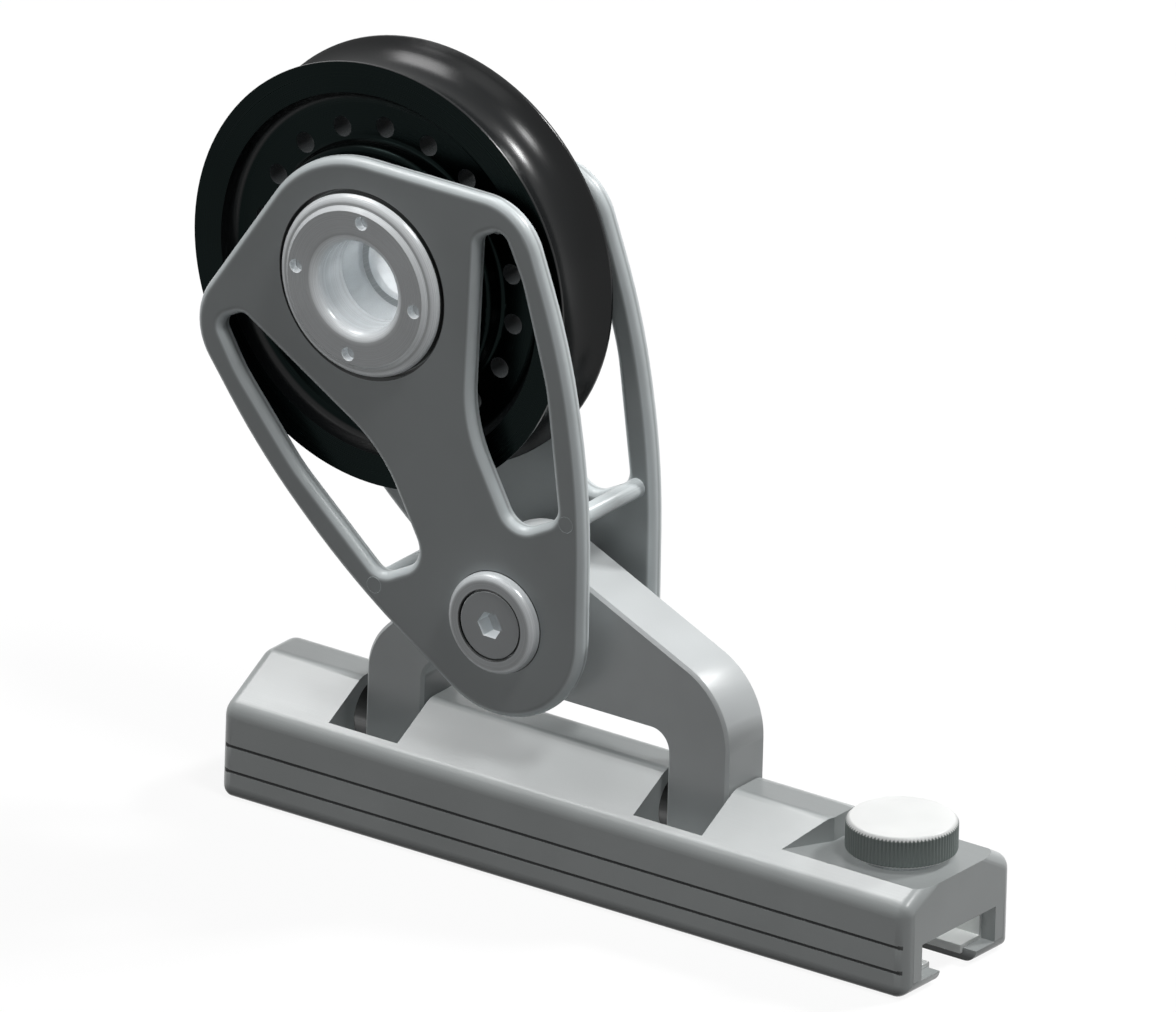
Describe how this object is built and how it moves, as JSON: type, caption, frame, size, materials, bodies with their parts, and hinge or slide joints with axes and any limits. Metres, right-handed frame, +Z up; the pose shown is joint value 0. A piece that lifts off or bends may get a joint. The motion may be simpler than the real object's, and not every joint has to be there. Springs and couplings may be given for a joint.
{
  "type": "genoa car",
  "caption": "Track car with a bridge that carries a tilting lead block: two slotted cheeks round a large sheave on a hollow axle, and a knurled plunger stop at one end.",
  "frame": {"origin": "middle of the car's sole, on the track's centre plane", "axes": "+X along the track towards the plunger, +Y across the track away from the viewer, +Z up from the deck"},
  "size_m": [0.2509, 0.0498, 0.2198],
  "materials": {
    "car_grey": "clear anodised, satin",
    "cheek_grey": "hard anodised dark grey, satin, with polished round edges",
    "bridge_grey": "hard anodised grey, satin",
    "sheave_black": "hard anodised black, semi-gloss",
    "nut_bright": "turned and polished",
    "bright_steel": "polished stainless",
    "bolt_grey": "dark satin",
    "fastener_steel": "stainless, plain",
    "spring_steel": "drawn wire",
    "knob_metal": "clear anodised, fluted side",
    "liner_white": "low-friction acetal, satin",
    "bearing_dark": "filled bearing plastic, satin",
    "roller_plastic": "high-load bearing plastic, satin"
  },
  "bodies": {
    "car": {"car_body": "car_grey", "slide_liner_near": "liner_white", "slide_liner_far": "liner_white", "liner_screws": "fastener_steel", "bridge": "bridge_grey", "bridge_screws": "fastener_steel", "bridge_bush_near": "bearing_dark", "bridge_bush_far": "bearing_dark", "plunger_housing": "bright_steel"},
    "plunger": {"plunger_pin": "bright_steel", "plunger_spring": "spring_steel", "plunger_knob": "knob_metal", "knob_grub_screw": "fastener_steel"},
    "block": {"pivot_sleeve": "bright_steel", "pivot_washer_near": "bearing_dark", "pivot_washer_far": "bearing_dark", "pivot_collar_near": "bright_steel", "pivot_collar_far": "bright_steel", "pivot_bolt": "bolt_grey", "pivot_nut": "bolt_grey", "cheek_near": "cheek_grey", "cheek_far": "cheek_grey", "spacer_left": "cheek_grey", "spacer_right": "cheek_grey", "hollow_axle": "bright_steel", "axle_nut_near": "nut_bright", "axle_nut_far": "nut_bright"},
    "sheave_wheel": {"sheave": "sheave_black", "bearing_cover_near": "bearing_dark", "bearing_cover_far": "bearing_dark"},
    "roller_set": {"bearing_rollers": "roller_plastic", "roller_cage": "bearing_dark"}
  },
  "joints": [
    {"name": "block_pivot", "type": "hinge", "parent": "car", "child": "block", "pos_m": [-0.0278, 0, 0.0721], "axis": [0, 1, 0], "range_deg": [-10.8, 46]},
    {"name": "sheave_spin", "type": "hinge", "parent": "block", "child": "sheave_wheel", "pos_m": [-0.07547, 0, 0.15864], "axis": [0, 1, 0], "continuous": true},
    {"name": "roller_orbit", "type": "hinge", "parent": "block", "child": "roller_set", "pos_m": [-0.07547, 0, 0.15864], "axis": [0, 1, 0], "continuous": true},
    {"name": "plunger_lift", "type": "slide", "parent": "car", "child": "plunger", "axis": [0, 0, 1], "range_m": [0, 0.007], "stiffness_N_per_m": 500, "springref_m": -0.008, "deforming": ["plunger_spring"]}
  ],
  "couplings": [
    {"joint": "roller_orbit", "follows": "sheave_spin", "ratio": 0.5519}
  ]
}
